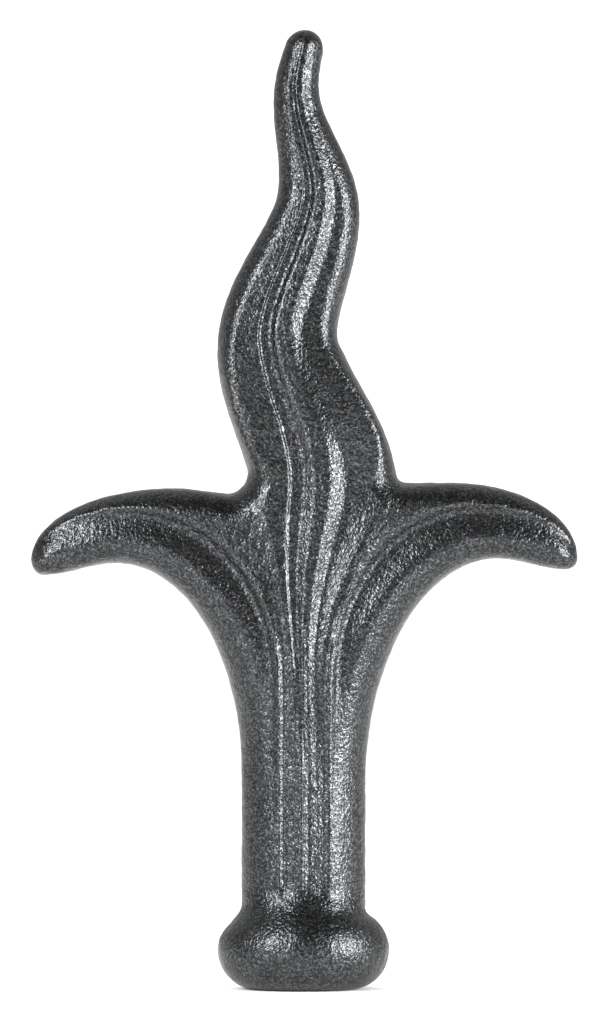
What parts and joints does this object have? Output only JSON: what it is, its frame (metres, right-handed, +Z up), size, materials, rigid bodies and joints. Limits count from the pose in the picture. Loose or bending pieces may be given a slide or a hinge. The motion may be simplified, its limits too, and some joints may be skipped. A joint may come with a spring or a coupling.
{
  "type": "fence finial",
  "caption": "Forged steel fence finial: a wavy flame between side leaves that curve out of a fluted stem, on a rounded collar with a flat weld face.",
  "frame": {"origin": "centre of the flat weld face under the collar", "axes": "+Z up the stem to the flame's tip, +X towards the right leaf as seen from the front, -Y towards the front face"},
  "size_m": [0.0798, 0.0232, 0.14],
  "materials": {
    "forged_steel": "satin"
  },
  "bodies": {
    "root": {"finial": "forged_steel"}
  },
  "joints": []
}
